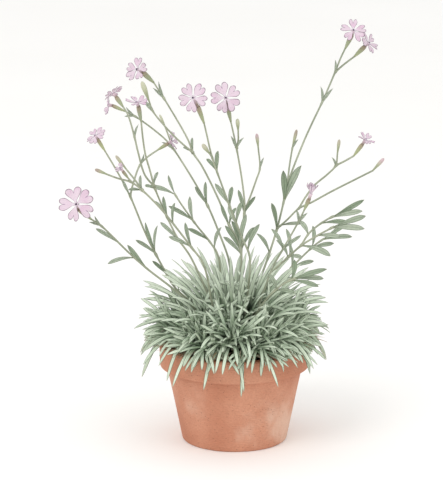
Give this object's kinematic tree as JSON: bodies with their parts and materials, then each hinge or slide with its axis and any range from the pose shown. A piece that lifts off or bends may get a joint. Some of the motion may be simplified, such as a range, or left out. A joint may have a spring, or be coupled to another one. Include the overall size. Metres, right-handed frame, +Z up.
{
  "type": "potted cushion-forming campion",
  "caption": "Alpine campion in a plain terracotta pot: a mound of narrow leaves with thin branched stems and notched pink flowers.",
  "frame": {"origin": "centre of the pot's underside", "axes": "+Z up through the pot's axis, -Y towards the front, from which the picture looks, and +X to the viewer's right"},
  "size_m": [0.1906, 0.1503, 0.252],
  "materials": {
    "terracotta": "matt unglazed terracotta with a pale bloom",
    "soil": "loose dark compost with dry leaf litter",
    "mound_leaf": "soft grey-green leaf",
    "stem": "soft olive-green stem and leaf",
    "petal": "thin matt pale pink petal"
  },
  "bodies": {
    "root": {"pot": "terracotta", "soil": "soil", "leaf_mound": "mound_leaf", "flower_stem_a": "stem", "bloom_a1": "petal", "flower_stem_b": "stem", "bloom_b1": "petal", "bloom_b2": "petal", "flower_stem_c": "stem", "bloom_c1": "petal", "bloom_c2": "petal", "flower_stem_d": "stem", "bloom_d1": "petal", "flower_stem_e": "stem", "bloom_e1": "petal", "flower_stem_f": "stem", "bloom_f1": "petal", "flower_stem_i": "stem", "bloom_i1": "petal", "flower_stem_j": "stem", "bloom_j1": "petal", "flower_stem_l": "stem", "bloom_l1": "petal", "bloom_l2": "petal", "bloom_l3": "petal", "flower_stem_o": "stem", "bloom_o1": "petal", "leafy_shoot_h": "stem", "leafy_shoot_p": "stem", "leafy_shoot_q": "stem", "leafy_shoot_r": "stem"}
  },
  "joints": []
}
